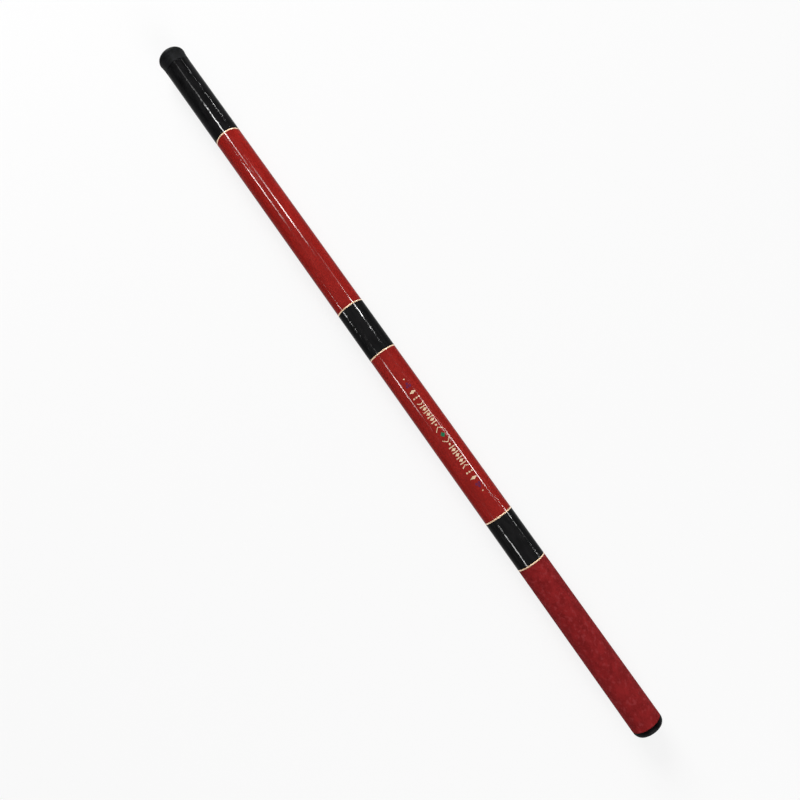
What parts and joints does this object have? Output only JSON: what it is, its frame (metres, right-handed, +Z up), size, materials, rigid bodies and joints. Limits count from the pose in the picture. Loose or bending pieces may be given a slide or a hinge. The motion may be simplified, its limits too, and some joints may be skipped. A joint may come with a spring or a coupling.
{
  "type": "fishing rod",
  "caption": "Closed telescopic hand pole: a tapered handle with nested sections that lock when drawn out, a screw butt cap with a seal and a rubber front plug.",
  "frame": {"origin": "centre of the butt cap's flat end face", "axes": "+X along the rod from the butt to the tip, +Z up; the rod's axis lies at y = 0, z = 0"},
  "size_m": [0.6959, 0.0262, 0.0262],
  "materials": {
    "red_lacquer": "red gloss lacquer over glass fibre",
    "black_lacquer": "black gloss lacquer over wound binding",
    "gold": "pale gold band",
    "grip": "matt mottled dark-red grip coat",
    "black_plastic": "black moulded plastic",
    "plug_rubber": "matt blue-black moulded rubber",
    "seal_rubber": "matt black rubber",
    "section_lacquer": "dark grey gloss lacquer over glass fibre",
    "steel": "polished steel"
  },
  "bodies": {
    "handle": {"handle_blank": "red_lacquer", "grip_sleeve": "grip", "butt_collar": "black_plastic", "front_wrap": "black_lacquer", "middle_wrap": "black_lacquer", "rear_wrap": "black_lacquer", "trim_ring_1": "gold", "trim_ring_2": "gold", "trim_ring_3": "gold", "trim_ring_4": "gold", "trim_ring_5": "gold"},
    "cap_seal": {"cap_o_ring": "seal_rubber"},
    "cap": {"butt_cap": "black_plastic", "cushion_pad": "seal_rubber"},
    "second": {"section_2": "section_lacquer", "mouth_wrap_2": "black_lacquer"},
    "third": {"section_3": "section_lacquer", "mouth_wrap_3": "black_lacquer"},
    "fourth": {"section_4": "section_lacquer", "mouth_wrap_4": "black_lacquer"},
    "fifth": {"section_5": "section_lacquer", "mouth_wrap_5": "black_lacquer"},
    "sixth": {"section_6": "section_lacquer", "mouth_wrap_6": "black_lacquer"},
    "seventh": {"section_7": "section_lacquer", "mouth_wrap_7": "black_lacquer"},
    "tip": {"section_8": "section_lacquer", "tip_ferrule": "steel"},
    "eye": {"line_eye": "steel"},
    "plug": {"front_plug": "plug_rubber"}
  },
  "joints": [
    {"name": "cap_travel", "type": "slide", "parent": "handle", "child": "cap_seal", "axis": [-1, 0, 0], "range_m": [0, 0.0096]},
    {"name": "cap_turn", "type": "hinge", "parent": "cap_seal", "child": "cap", "pos_m": [0, 0, 0], "axis": [-1, 0, 0], "range_deg": [0, 2304]},
    {"name": "draw_2", "type": "slide", "parent": "handle", "child": "second", "axis": [1, 0, 0], "range_m": [0, 0.57645]},
    {"name": "draw_3", "type": "slide", "parent": "second", "child": "third", "axis": [1, 0, 0], "range_m": [0, 0.55475]},
    {"name": "draw_4", "type": "slide", "parent": "third", "child": "fourth", "axis": [1, 0, 0], "range_m": [0, 0.56175]},
    {"name": "draw_5", "type": "slide", "parent": "fourth", "child": "fifth", "axis": [1, 0, 0], "range_m": [0, 0.56875]},
    {"name": "draw_6", "type": "slide", "parent": "fifth", "child": "sixth", "axis": [1, 0, 0], "range_m": [0, 0.57575]},
    {"name": "draw_7", "type": "slide", "parent": "sixth", "child": "seventh", "axis": [1, 0, 0], "range_m": [0, 0.58275]},
    {"name": "draw_8", "type": "slide", "parent": "seventh", "child": "tip", "axis": [1, 0, 0], "range_m": [0, 0.58975]},
    {"name": "eye_swivel", "type": "hinge", "parent": "tip", "child": "eye", "pos_m": [0.6665, 0, 0], "axis": [1, 0, 0], "continuous": true},
    {"name": "plug_pull", "type": "slide", "parent": "tip", "child": "plug", "axis": [1, 0, 0], "range_m": [0, 0.04]}
  ],
  "couplings": [
    {"joint": "cap_travel", "follows": "cap_turn", "m_per_rad": 0.00023873}
  ]
}
